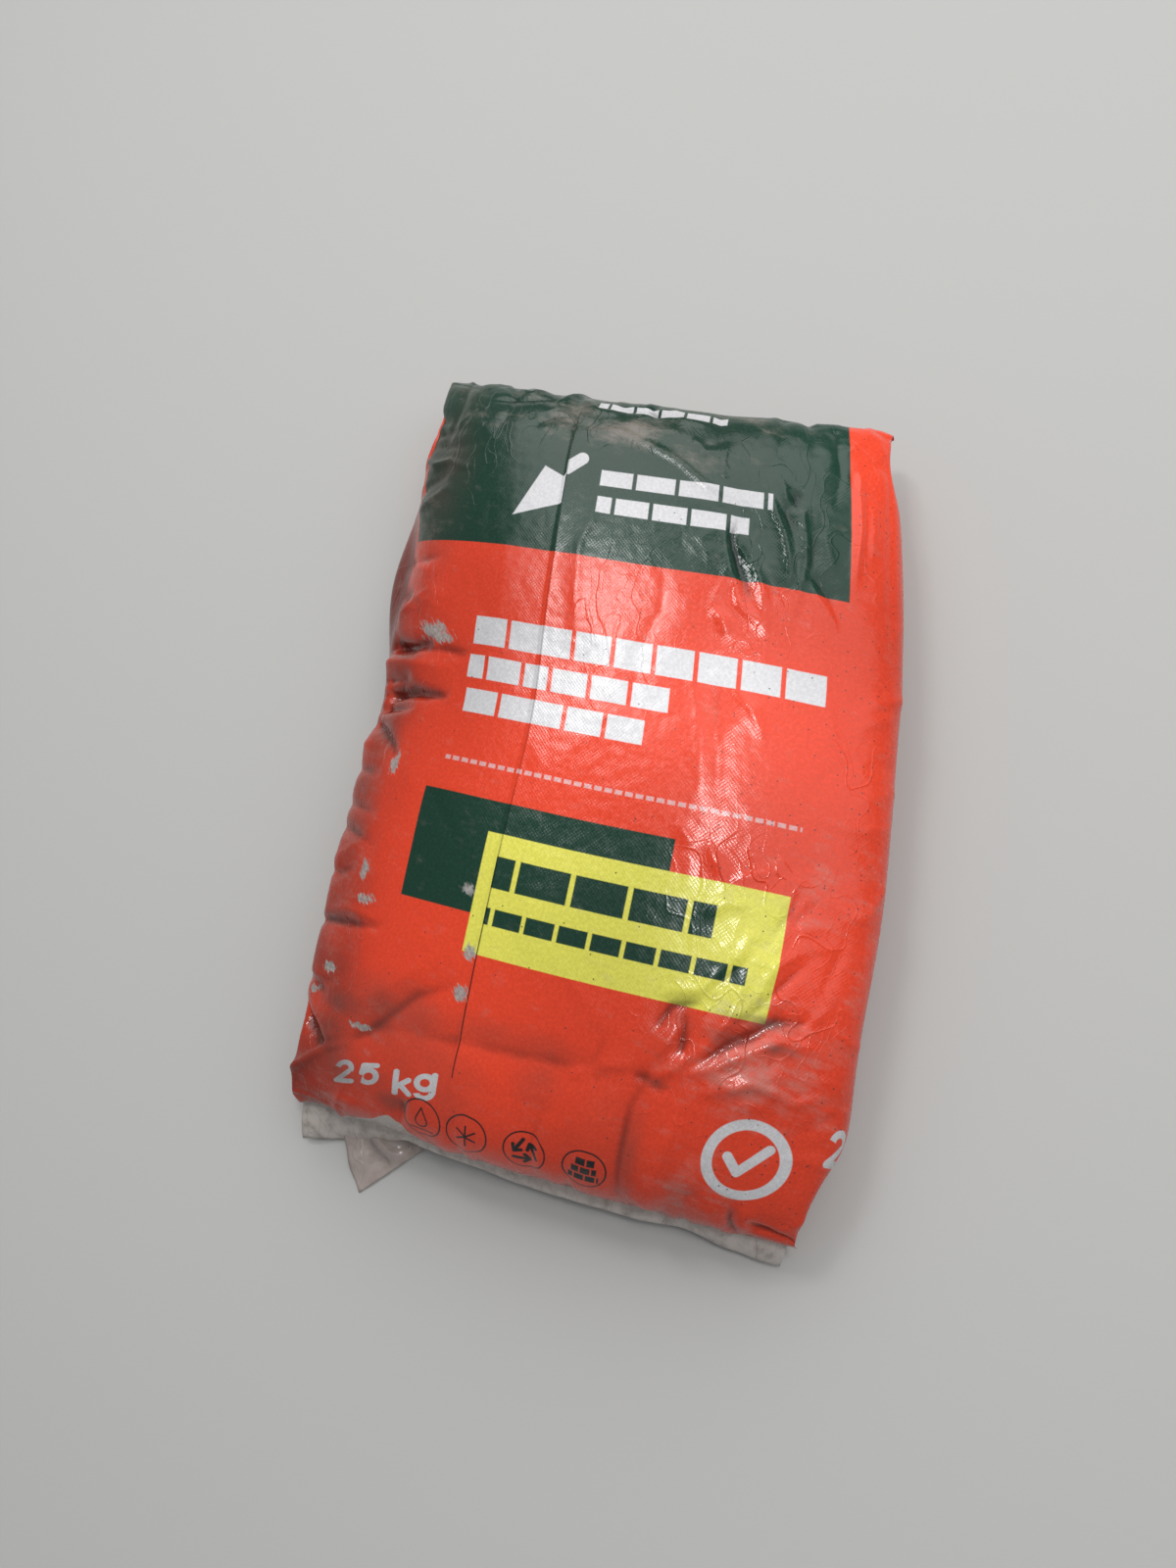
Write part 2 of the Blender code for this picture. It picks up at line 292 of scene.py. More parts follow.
# The lap of film down the front panel: its place, its ends, its step and how far that takes to fade,
# and the width of the print that it hides (millimetres)
LAP_U = -56.0
LAP_ENDS = (98.0, 600.0)
LAP_STEP = 0.9
LAP_FADE = 22.0
LAP_HIDES = 8.0


def along_line(u, v, line):
    """Distance to a broken line and the share of its length at the nearest point, over the grid."""
    points = np.reshape(line, (-1, 2)).astype(float)
    lengths = np.hypot(*np.diff(points, axis=0).T)
    starts = np.concatenate([[0], np.cumsum(lengths)])
    distance = np.full(np.broadcast(u, v).shape, np.inf)
    share = np.zeros_like(distance)
    for a, b, length, start in zip(points[:-1], points[1:], lengths, starts):
        way = (b - a) / length
        t = np.clip((u - a[0]) * way[0] + (v - a[1]) * way[1], 0, length)
        d = np.hypot(u - a[0] - way[0] * t, v - a[1] - way[1] * t)
        nearer = d < distance
        distance = np.where(nearer, d, distance)
        share = np.where(nearer, (start + t) / starts[-1], share)
    return distance, share


def crease_height(u, v, crease):
    """Height of one crease: across it falls as exp(-d / half width), with d rounded off at the crest."""
    at_middle, height, width, *line = crease
    distance, share = along_line(u, v, line)
    distance = np.sqrt(distance**2 + CREST**2) - CREST
    fade = np.sin(np.pi * np.clip(share, 0.02, 0.98)) ** 0.6 if at_middle else (1 - share) ** 0.8
    return height * fade * np.exp(-distance / width)


# Families of small creases: how many, the ranges of u and v where they start, their direction in
# degrees and its spread, their length, height and half width, and 1 or 0 as above
CREASE_FAMILIES = (
    (34, (-206, -182), (30, 630), 0, 22, (25, 75), 1.6, (3, 7), 0),
    (40, (-190, 195), (640, 652), -90, 14, (25, 85), 1.7, (3, 7), 0),
    (34, (-190, 195), (4, 12), 90, 14, (25, 85), 1.6, (3, 7), 0),
    (30, (185, 205), (40, 620), 180, 30, (20, 60), 1.0, (3, 6), 0),
    (34, (70, 170), (120, 240), 40, 28, (15, 50), 0.9, (2.2, 4), 1),
    (30, (60, 170), (420, 550), 95, 18, (15, 55), 0.9, (2.2, 4), 1),
    (60, (-180, 180), (60, 580), 90, 90, (20, 80), 0.5, (3, 8), 1),
)


def small_creases(rng):
    """The creases of every family: three points each, bent to one side at the middle."""
    made = []
    for count, u, v, direction, spread, length, height, width, at_middle in CREASE_FAMILIES:
        for _ in range(count):
            angle = math.radians(rng.normal(direction, spread))
            way = np.array([math.cos(angle), math.sin(angle)]) * rng.uniform(*length)
            start = np.array([rng.uniform(*u), rng.uniform(*v)])
            bend = start + way / 2 + np.array([-way[1], way[0]]) * rng.normal(0, 0.12)
            size = rng.normal(0, height), rng.uniform(*width)
            made.append((at_middle, *size, *start, *bend, *(start + way)))
    return made


def cubic_steps(places, count):
    """Matrix of uniform cubic B-spline weights from count control values to the places."""
    cell = np.minimum(places.astype(int), count - 4)
    t = places - cell
    weights = [(1 - t) ** 3, 3 * t**3 - 6 * t**2 + 4, -3 * t**3 + 3 * t**2 + 3 * t + 1, t**3]
    matrix = np.zeros((len(places), count))
    for k, weight in enumerate(weights):
        matrix[np.arange(len(places)), cell + k] += weight / 6
    return matrix


def soft_noise(shape, cells, rng):
    """Smooth noise: a coarse grid of normal values, stretched over the sheet by cubic B-splines."""
    coarse = rng.normal(0, 1, (cells[0] + 3, cells[1] + 3))
    rows = cubic_steps(np.linspace(0, cells[0], shape[0]), coarse.shape[0])
    columns = cubic_steps(np.linspace(0, cells[1], shape[1]), coarse.shape[1])
    return rows @ coarse @ columns.T


def grid_normals(points):
    """Unit normals of a grid: the cross product of its two central differences."""
    normal = np.cross(np.gradient(points, axis=1), np.gradient(points, axis=0))
    return normal / np.maximum(np.linalg.norm(normal, axis=-1, keepdims=True), 1e-9)


def ramp(value, middle, spread):
    """Smooth step from 0 to 1 about the middle."""
    return 1 / (1 + np.exp(-(value - middle) / spread))


def hollows(u, v, rng):
    """Heights of the cement's skin over its smooth shape: soft lumps, facets between sharp crests
    (less the size of a noise), and every crease, all fading to the seals and on the left web."""

    def noise(*cells):
        return soft_noise(np.broadcast(u, v).shape, cells, rng)

    height = 0.8 * noise(9, 7) + 0.25 * noise(24, 18)
    height -= 1.1 * np.abs(noise(15, 11)) * np.clip(noise(5, 4) + 0.8, 0, 1.6)
    for one in LEFT_TUCKS + FOOT_FOLDS + HEADER_FOLDS + tuple(small_creases(rng)):
        height += crease_height(u, v, one)
    lapped = ramp(v, LAP_ENDS[0], 6) * ramp(-v, -LAP_ENDS[1], 12)
    step = np.where(u > LAP_U - 0.5, np.exp(-np.maximum(u - LAP_U, 0) / LAP_FADE), 0)
    height += LAP_STEP * lapped * step
    height *= 0.15 + 0.85 * ramp(u, -200, 2.5)
    return height * np.clip(np.minimum(v, v[-1] - v) / 20, 0, 1)


def spare_film(u, v, patches):
    """Shares by which the film is too long for the cement, across and along the sack. It is slack at
    both ends, on the left edge and at the right's two corners, and taut in the middle."""
    left = ramp(-u, 140, 12)
    right = ramp(u, 80, 15)
    foot = ramp(-v, -100, 20)
    header = ramp(v, 540, 20)
    upper = ramp(v, 400, 20)
    lower = ramp(-v, -290, 20)
    across = 0.006 * foot + 0.010 * header + 0.010 * right * (upper + 0.6 * lower) + 0.003 * left
    along = 0.012 * left + 0.004 * foot + 0.002 * header + 0.007 * right * (0.5 * upper + lower)
    return 0.0005 + patches * across, patches * along


# Relaxing the film as a thin sheet. Points are held as three planes: X, Y and Z, in millimetres.


def bent(away):
    """Laplacian of each plane: the four neighbours less four times the point, 0 on the border."""
    out = np.zeros_like(away)
    sides = away[:, :-2, 1:-1] + away[:, 2:, 1:-1] + away[:, 1:-1, :-2] + away[:, 1:-1, 2:]
    out[:, 1:-1, 1:-1] = sides - 4 * away[:, 1:-1, 1:-1]
    return out


def link_ends(rows, columns, phase):
    """Slices of both ends of every link that spans (rows, columns) and starts on one parity."""
    every = np.s_[:]
    if rows == 0:
        return (every, every, np.s_[phase:-1:2]), (every, every, np.s_[phase + 1 :: 2])
    first, second = {0: (every, every), 1: (np.s_[:-1], np.s_[1:]), -1: (np.s_[1:], np.s_[:-1])}[columns]
    return (every, np.s_[phase:-1:2], first), (every, np.s_[phase + 1 :: 2], second)


def links_of(start, spare_across, spare_along, free):
    """Every link of the sheet with its rest length and the share that each end moves."""
    links = []
    for rows, columns in ((0, 1), (1, 0), (1, 1), (1, -1)):
        spare = spare_across * (columns != 0) + spare_along * (rows != 0)
        spare = spare / (abs(rows) + abs(columns))
        for phase in (0, 1):
            a, b = link_ends(rows, columns, phase)
            rest = np.linalg.norm(start[b] - start[a], axis=0) * (1 + (spare[a[1:]] + spare[b[1:]]) / 2)
            total = np.maximum(free[a[1:]] + free[b[1:]], 1)
            links.append((a, b, rest.astype(np.float32), free[a[1:]] / total, free[b[1:]] / total))
    return links


def inside(shape):
    """1 inside a sheet and 0 on its border, where the seals and the back creases stay in place."""
    mask = np.zeros(shape, dtype=np.float32)
    mask[1:-1, 1:-1] = 1
    return mask


def relax(points, start, normal, spare, rounds, bending=0.006, hold=0.02, cap=0.2, push=0.3, carry=0.96):
    """Moves the sheet off the cement, where it starts, until its links keep their lengths. Each round
    carries the motion on, bends the film back, presses lifted film down with a force that is the same
    past a small height, pushes sunk film out, and corrects the links one parity at a time."""
    free = inside(start.shape[1:])
    links = links_of(start, *spare, free)
    before = points.copy()
    for _ in range(rounds):
        motion = (points - before) * carry
        before = points.copy()
        away = points - start
        lifted = (away * normal).sum(axis=0)
        back = push * np.maximum(-lifted, 0) - hold * np.clip(lifted, 0, cap)
        points += free * (motion - bending * bent(bent(away)) + normal * back)
        for a, b, rest, share_a, share_b in links:
            gap = points[b] - points[a]
            length = np.sqrt(gap[0] * gap[0] + gap[1] * gap[1] + gap[2] * gap[2])
            gap *= (length - rest) / np.maximum(length, 1e-6)
            points[a] += gap * share_a
            points[b] -= gap * share_b
        np.maximum(points[2], LOWEST, out=points[2])
    return points


def doubled(planes):
    """Catmull-Rom points halfway between the grid's, along both directions."""
    for axis in (1, 2):
        grid = np.moveaxis(planes, axis, 0)
        padded = np.concatenate([2 * grid[:1] - grid[1:2], grid, 2 * grid[-1:] - grid[-2:-1]])
        finer = np.empty((2 * len(grid) - 1,) + grid.shape[1:], dtype=grid.dtype)
        finer[::2] = grid
        finer[1::2] = (9 * (padded[1:-2] + padded[2:-1]) - padded[:-3] - padded[3:]) / 16
        planes = np.moveaxis(finer, 0, axis)
    return np.ascontiguousarray(planes)


def planes_of(grid):
    return np.ascontiguousarray(np.moveaxis(grid, -1, 0)).astype(np.float32)


def evened(grid, rounds):
    """The grid with every inner value moved to the middle of its four neighbours, again and again."""
    out = grid.copy()
    for _ in range(rounds):
        out[1:-1, 1:-1] = (out[:-2, 1:-1] + out[2:, 1:-1] + out[1:-1, :-2] + out[1:-1, 2:]) / 4
    return out


# Torn and rubbed places: (u, v, half width, half height) in millimetres
SCUFFS = (
    (-150, 393, 17, 8), (-141, 388, 12, 5), (-157, 290, 5, 11), (-160, 214, 5, 9), (-153, 194, 9, 5),
    (-174, 142, 7, 5), (-188, 124, 6, 4), (-138, 110, 11, 3), (-61, 151, 8, 6), (-60, 178, 6, 7),
    (-71, 218, 7, 5),
)
# Dusty places: (u, v, half width, half height, strength)
DUSTY = (
    (-30, 572, 64, 26, 0.9), (36, 558, 40, 18, 0.62), (0, 630, 190, 26, 0.6), (-120, 590, 50, 22, 0.45),
    (-184, 470, 30, 70, 0.3), (-188, 330, 32, 70, 0.5), (-190, 190, 42, 110, 0.55),
    (-150, 60, 80, 60, 0.35), (-110, 120, 50, 26, 0.3), (146, 160, 70, 44, 0.8), (118, 62, 34, 34, 0.6),
    (60, 18, 200, 22, 0.5), (200, 250, 22, 260, 0.45), (150, 270, 50, 60, 0.4), (60, 440, 90, 60, 0.15),
)
# Dirty smudges, some of them painted shade along the valleys and folds of the foot: (u, v, half width, half
# height, strength)
SMUDGES_AND_SHADE = (
    (135, 179, 22, 4, 0.9), (152, 164, 10, 4, 1), (114, 166, 12, 6, 0.4), (128, 148, 34, 6, 0.18),
    (-178, 146, 26, 30, 0.25), (-150, 122, 36, 10, 0.8), (-158, 98, 40, 20, 0.55), (-146, 80, 46, 18, 0.5),
    (-102, 66, 14, 8, 0.9), (-112, 122, 44, 24, 0.7), (-84, 104, 30, 20, 0.35), (-172, 190, 22, 40, 0.3),
    (-184, 256, 20, 36, 0.7), (-178, 302, 18, 26, 0.65), (-180, 345, 20, 30, 0.45), (-176, 372, 16, 6, 0.8),
    (-176, 530, 34, 100, 0.45), (-20, 560, 120, 50, 0.12), (-60, 90, 30, 26, 0.25), (60, 100, 26, 40, 0.12),
    (6, 110, 18, 14, 0.34), (-26, 130, 60, 12, 0.3), (84, 160, 18, 20, 0.22), (76, 76, 8, 50, 0.4),
    (80, 128, 10, 4, 0.5), (112, 40, 12, 34, 0.2), (40, 16, 80, 12, 0.3),
)
# Places where the film is crinkled: (u, v, half width, half height, strength)
CRINKLED = (
    (112, 268, 40, 20, 1), (104, 226, 46, 26, 0.5), (172, 335, 18, 44, 0.55), (132, 168, 56, 40, 1.15),
    (0, 420, 50, 66, 0.22), (100, 470, 26, 60, 0.65), (172, 510, 14, 50, 0.5), (-36, 592, 90, 36, 0.9),
    (-150, 560, 40, 60, 0.6),
)
# Upper edge of the unprinted margin at the foot: (u, v)
FOOT_MARGIN = (
    (-250, 20), (-186, 22), (-147, 27), (-127, 36), (-112, 48), (-103, 52), (-97, 47), (-84, 34), (-74, 23),
    (-60, 12), (-40, 5), (0, 3), (250, 3),
)


def away_from(u, v, spot):
    """Distance from an ellipse's middle, in shares of its half axes."""
    return np.hypot((u - spot[0]) / spot[2], (v - spot[1]) / spot[3])


def spots(u, v, table, rim):
    """The strongest of a table's ellipses at each point. Each fades out towards its rim."""
    return np.max([spot[4] * np.clip(rim - away_from(u, v, spot), 0, 1) for spot in table], axis=0)


def film_marks(sheet, u, v, rng):
    """What the film's finish follows, as one value for each point of the sheet: how dusty it is, how
    dirty (with painted shade along some valleys), how deep in a crease (darkened there as painted
    shade), how slack, how grimy (with painted shade towards the foot and on the left web), how near a
    torn place (1 at its edge), and how far above the bare margin in millimetres."""
    u, v = np.broadcast_arrays(u[None], v[:, None])

    def noise(*cells):
        return soft_noise(u.shape, cells, rng)

    # Depth in a crease, kept as the crease mark: the material darkens the film by it as painted shade, and
    # dust thins out in it
    raised = ((sheet - evened(sheet, 40)) * grid_normals(sheet)).sum(axis=-1)
    hollow = np.clip((-raised - 0.25) / 1.3, 0, 1) * np.where(np.abs(u) > 200, 0.3, 1.0)
    dust = np.maximum(0.12, spots(u, v, DUSTY, 1.35))
    dust = dust * (0.75 + 0.35 * noise(16, 12)) * (1 - 0.6 * hollow)
    torn = np.min([away_from(u, v, spot) for spot in SCUFFS], axis=0)
    across, along = spare_film(u, v, np.clip(0.7 + 0.8 * noise(12, 9), 0.1, 2.2))
    slack = np.clip((across + along) / 0.026, 0, 0.6) * (1 - 0.5 * ramp(v, 525, 12))
    # Dirt, and painted shade along some valleys and folds of the foot
    dirt_and_shade = spots(u, v, SMUDGES_AND_SHADE, 1.35) * np.clip(0.85 + 0.45 * noise(54, 40), 0.2, 1.4)
    # Grime with painted shade: noisy darkening, painted shade growing towards the foot, and more darkening on
    # the left edge below the middle
    grime_and_shade = np.clip(0.5 + 0.45 * noise(9, 7) + 0.3 * ramp(-v, -200, 60), 0, 1)
    stained = np.clip(0.8 + 0.5 * noise(40, 30), 0.2, 1.5)
    grime_and_shade += 1.15 * stained * ramp(-u, 154, 9) * ramp(-v, -420, 15)
    margin = v - np.interp(u, *np.transpose(FOOT_MARGIN)) + 1.5 * noise(60, 46)
    clods = np.clip(noise(50, 26), -1.2, 1.5) * ramp(v, 538, 8) * ramp(-np.abs(u + 20), -150, 16)
    return {
        "dust": np.clip(dust + 0.42 * clods, 0, 1.3),
        "dirt_and_shade": dirt_and_shade,
        "crease": hollow,
        "slack": np.maximum(slack, spots(u, v, CRINKLED, 1.5)),
        # Painted shade, with some dirt, on the left web strip below the front crease
        "grime_and_shade": np.maximum(grime_and_shade, ramp(-u, 199, 1.5) * ramp(v, 330, 20) * ramp(-v, -520, 20) * 2.6),
        "torn": np.minimum(torn, 9.0),
        "margin": margin,
    }


def film_tube():
    """The relaxed sheet and the back panel, in millimetres, with their flat coordinates."""
    rng = np.random.default_rng(SEED)
    smooth, back, u, v = packed_skin()
    normal = grid_normals(smooth)
    shape = smooth.shape[:2]
    skin = smooth + normal * (hollows(u[None], v[:, None], rng) * inside(shape))[..., None]
    skin[..., 2] = np.maximum(skin[..., 2], LOWEST)
    skin, normal = planes_of(skin), planes_of(normal)
    patches = np.clip(0.9 + 0.9 * soft_noise(shape, (14, 10), rng), 0, 2.5)
    spare = [s.astype(np.float32) for s in spare_film(u[None], v[:, None], patches)]
    coarse = np.s_[:, ::2, ::2]
    rounds = ((400, 500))
    wide = [s[::2, ::2] for s in spare]
    eased = relax(skin[coarse].copy(), skin[coarse], normal[coarse], wide, rounds[0])
    points = skin + doubled(eased - skin[coarse])
    shake = rng.normal(0, 0.04, shape).astype(np.float32) * inside(shape)
    sheet = np.moveaxis(relax(points + normal * shake, skin, normal, spare, rounds[1]), 0, -1)
    return sheet, back, u, v, film_marks(sheet, u, v, rng)


# Making meshes


def grid_faces(index):
    """Quads between the rows and columns of a table of point numbers."""
    corners = [index[:-1, :-1], index[:-1, 1:], index[1:, 1:], index[1:, :-1]]
    return np.stack(corners, axis=-1).reshape(-1, 4)


def placed(name, data):
    """A new object at the origin of the scene."""
    thing = bpy.data.objects.new(name, data)
    bpy.context.scene.collection.objects.link(thing)
    return thing


def make_mesh(name, points, faces, uv, *materials):
    """An object at the origin from points in millimetres, quads, and a UV pair for each face corner."""
    mesh = bpy.data.meshes.new(name)
    mesh.from_pydata((points / 1000).tolist(), [], faces.tolist())
    layer = mesh.uv_layers.new(name="film")
    layer.data.foreach_set("uv", np.ascontiguousarray(uv, dtype=np.float32).ravel())
    mesh.shade_smooth()
    for material in materials:
        mesh.materials.append(material)
    piece = placed(name, mesh)
    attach(piece, "root")
    return piece


# The foot end's print lies below this height, and the rest of the front's above it. The strips across
# the seals are plain, as the back panel is at this place across it (millimetres).
FOOT_PRINT_ENDS = 150.0
PLAIN_U = 436.0
BACK_MARKS = {"dust": 0.5, "dirt_and_shade": 0, "grime_and_shade": 0.4, "crease": 0, "slack": 0.25, "torn": 9, "margin": 99}


def make_sack(materials):
    """The body: the relaxed sheet, the back panel and a strip across each seal, welded into one skin."""
    sheet, back, u, v, marks = film_tube()
    rows, columns = sheet.shape[:2]
    inner = back[:, 1:-1]
    count = rows * inner.shape[1]
    points = np.concatenate([sheet.reshape(-1, 3), inner.reshape(-1, 3)])
    index = np.arange(rows * columns).reshape(rows, columns)
    behind = rows * columns + np.arange(count).reshape(rows, -1)
    ring = np.concatenate([index, behind, index[:, :1]], axis=1)

    around = np.linspace(u[-1], u[-1] + FRONT_FLAT_WIDTH * 1000, inner.shape[1] + 2)
    ring_u = np.concatenate([u, around[1:]])
    past_lap = np.arange(len(ring_u) - 1) >= np.searchsorted(u, LAP_U - 0.6)
    shift = np.where(past_lap, 0.0, -LAP_HIDES)
    sides = ring_u[:-1] + shift, ring_u[1:] + shift
    left, right, low, high = np.broadcast_arrays(*sides, v[:-1, None], v[1:, None])
    uv = np.stack([left, low, right, low, right, high, left, high], axis=-1).reshape(-1, 2)
    caps, cap_uv = seal_caps(index, behind, v)
    faces = np.concatenate([grid_faces(ring), caps])
    sack = make_mesh("sack_film", points, faces, np.concatenate([uv, cap_uv]), *materials)
    which = np.where(low < FOOT_PRINT_ENDS, 1, 0)
    which[:, columns - 1 :] = 2
    which = np.concatenate([which.ravel(), np.full(len(caps), 2)])
    sack.data.polygons.foreach_set("material_index", which.astype(np.int32))
    set_marks(sack, {name: np.append(marks[name], np.full(count, BACK_MARKS[name])) for name in marks})
    return sack


def set_marks(piece, marks):
    """Stores each mark as an attribute of the piece's points."""
    for name, values in marks.items():
        layer = piece.data.attributes.new(name, "FLOAT", "POINT")
        layer.data.foreach_set("value", np.ascontiguousarray(values, dtype=np.float32))


def seal_caps(index, behind, v):
    """A fan of quads across each seal: the front row's points against the back row's, in step."""
    caps = []
    for row, way in ((0, 1), (-1, -1)):
        front = index[row]
        back = np.concatenate([index[row, -1:], behind[row], index[row, :1]])[::-1]
        step = np.linspace(0, len(back) - 1, len(front)).round().astype(int)
        caps.append(grid_faces(np.stack([front, back[step]], axis=1))[:, ::way])
    faces = np.concatenate(caps)
    high = np.repeat([v[0], v[-1]], len(faces) // 2 * 4)
    return faces, np.stack([np.full_like(high, PLAIN_U), high], axis=-1)


def thin_shell(name, grid, thickness, material, film=None):
    """A closed thin piece: the grid moved half its thickness out and in along its normals, with a rim.
    The film's flat coordinates are the grid's own X and Y unless they are given."""
    offset = grid_normals(grid) * thickness / 2
    points = np.concatenate([(grid + offset).reshape(-1, 3), (grid - offset).reshape(-1, 3)])
    count = len(points) // 2
    index = np.arange(count).reshape(grid.shape[:2])
    border = np.concatenate([index[0], index[1:, -1], index[-1, -2::-1], index[-2::-1, 0]])
    rim = grid_faces(np.stack([border, border + count], axis=1))
    faces = np.concatenate([grid_faces(index), grid_faces(index + count)[:, ::-1], rim])
    flat = (grid[..., :2] if film is None else film).reshape(-1, 2)
    return make_mesh(name, points, faces, np.concatenate([flat, flat])[faces.ravel()], material)


# Tails of film beyond the seals

# Each tail by the share across: how far its free edge, and then its bend, lie from the seal in X, Y and Z
# (millimetres)
FOOT_TAIL = (
    (-1, -4, -32, -20, -2, -16, -3), (-0.8, 0, -22, -19.5, 0, -13, -3), (-0.62, 0, -12, -18, 0, -10, -4),
    (-0.53, 0, -4, -16, 0, -11, -6), (-0.47, 0, -4, -15, 0, -13, -7), (0, 0, -9, -16, 0, -16, -6),
    (0.45, 0, -9, -15, 0, -14, -5), (0.6, 0, -9, -14, 0, -9, -4), (0.78, 0, -14, -16, 0, -9, -3),
    (1, -4, -17, -19, -1, -9, -3),
)
HEADER_TAIL = (
    (-1, 0, 5, -10, 0, 9, -1), (-0.62, 0, 9, -12, 0, 10, -1), (-0.2, 0, 6, -13, 0, 8, 0),
    (0.25, 0, 11, -11, 0, 11, -1), (0.7, 0, 7, -14, 0, 9, -1), (1, 0, 5, -11, 0, 8, -1),
)
# Thickness of the tails and of the ear as drawn (millimetres)
TAIL_FILM = 0.5
EAR_FILM = 0.4
# Height on the film at which the header tail's print starts, just above the seal (millimetres)
TAIL_PRINT_V = 655
# Corners of the pointed ear: two beside the foot seal, its tip and its free corner (millimetres)
EAR_CORNERS = ((-160, -270, 9), (-110, -264, 9), (-139, -321, 1.2), (-96.5, -282.5, 2.5))


def tail_grid(along, table, columns=160, rows=12, reach=0.985):
    """Each column is a parabola from the seal by way of the bend to the free edge, with ripples."""
    across = np.linspace(-reach, reach, columns + 1)
    along_all = np.full_like(across, along)
    x, y = plan_point(across, along_all)
    root = np.stack([x - BOX_MIDDLE[0], y - BOX_MIDDLE[1], seal_height(across, along_all)], axis=-1) * 1000
    root[:, 1] -= 1.5 * along
    knots, *columns_of = np.transpose(table)
    away = np.stack([np.interp(across, knots, values) for values in columns_of], axis=-1)
    t = np.linspace(0, 1, rows + 1)[:, None, None]
    grid = root + 2 * t * (1 - t) * away[:, 3:] + t**2 * away[:, :3]
    wave = 0.8 * np.sin(13 * across + 1.3) + 0.5 * np.sin(31 * across + 2 * np.sin(7 * across))
    wave = wave + 0.25 * np.sin(67 * across + 3 * np.sin(5 * across))
    t = t[..., 0]
    grid[..., 2] += (t * (1 - 0.4 * t)) * wave
    grid[..., 1] += 0.5 * t**2 * np.roll(wave, 9)
    return grid[::-1] if along > 0 else grid


def make_header_tail(material):
    """The header's tail is printed like the front, so its film goes on above the seal."""
    grid = tail_grid(1, HEADER_TAIL)
    past, across = np.mgrid[grid.shape[0] - 1 : -1 : -1, -1 : 1 : grid.shape[1] * 1j]
    film = np.stack([across * FRONT_FLAT_WIDTH * 500, TAIL_PRINT_V + past], axis=-1)
    tail = thin_shell("header_tail", grid, TAIL_FILM, material, film)
    marks = {**BACK_MARKS, "dust": 0.7, "dirt_and_shade": 0.2, "grime_and_shade": 0.7, "slack": 0.8}
    points = len(tail.data.vertices)
    set_marks(tail, {name: np.full(points, value) for name, value in marks.items()})


def flap_grid(rows=30, columns=30):
    """The pointed ear: a patch between four corners, low on the floor, with a ridge and small crumples."""
    t, s = np.mgrid[0 : rows + 1, 0 : columns + 1] / np.array([rows, columns])[:, None, None]
    across, along = s[..., None], t[..., None]
    near_left, near_right, tip, right = np.array(EAR_CORNERS)
    grid = (1 - along) * ((1 - across) * near_left + across * near_right)
    grid = grid + along * ((1 - across) * tip + across * right)
    ridge = 7.5 * np.exp(-(((s - 0.35 - 0.3 * t) / 0.09) ** 2)) * np.sin(np.pi * np.clip(t, 0, 1)) ** 0.7
    crumple = (3.0 - 1.5 * s) * np.sin(9 * s + 5 * t) * np.sin(7 * t - 4 * s + 1)
    grid[..., 0] -= 4 * np.sin(np.pi * t) * (1 - s)
    grid[..., 2] += (ridge + crumple) * np.clip(4 * (1 - t), 0.15, 1)
    grid[..., 2] = np.maximum(grid[..., 2], 0.6)
    return grid


# Wiring materials

# Steepness of the edge of a drawn shape, per millimetre
EDGE = 1.43


